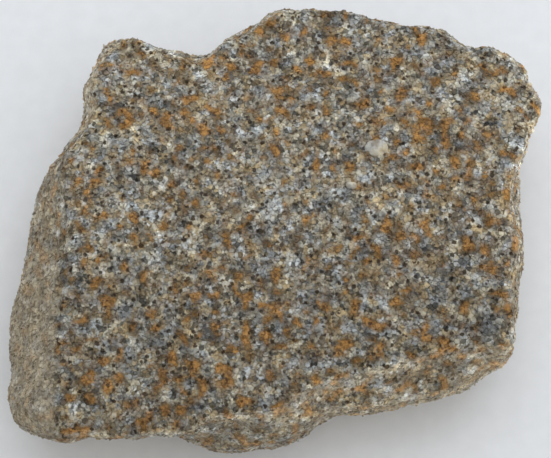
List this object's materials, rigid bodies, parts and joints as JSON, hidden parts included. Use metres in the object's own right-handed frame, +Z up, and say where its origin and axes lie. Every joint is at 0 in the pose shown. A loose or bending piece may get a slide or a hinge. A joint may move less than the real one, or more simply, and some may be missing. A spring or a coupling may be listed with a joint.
{
  "type": "sandstone specimen",
  "caption": "Flat hand specimen of coarse grey and rust-flecked sandstone: broken slab with stepped, rough sides, resting on a small flat spot.",
  "frame": {"origin": "middle of the stone's box seen from above, at the height of the flat spot it rests on", "axes": "+X to the right along the stone's length, +Y away from the viewer, +Z up, square to the bedding"},
  "size_m": [0.1034, 0.0866, 0.0336],
  "materials": {
    "sandstone": "rough broken grains, matt"
  },
  "bodies": {
    "root": {"sandstone": "sandstone"}
  },
  "joints": []
}
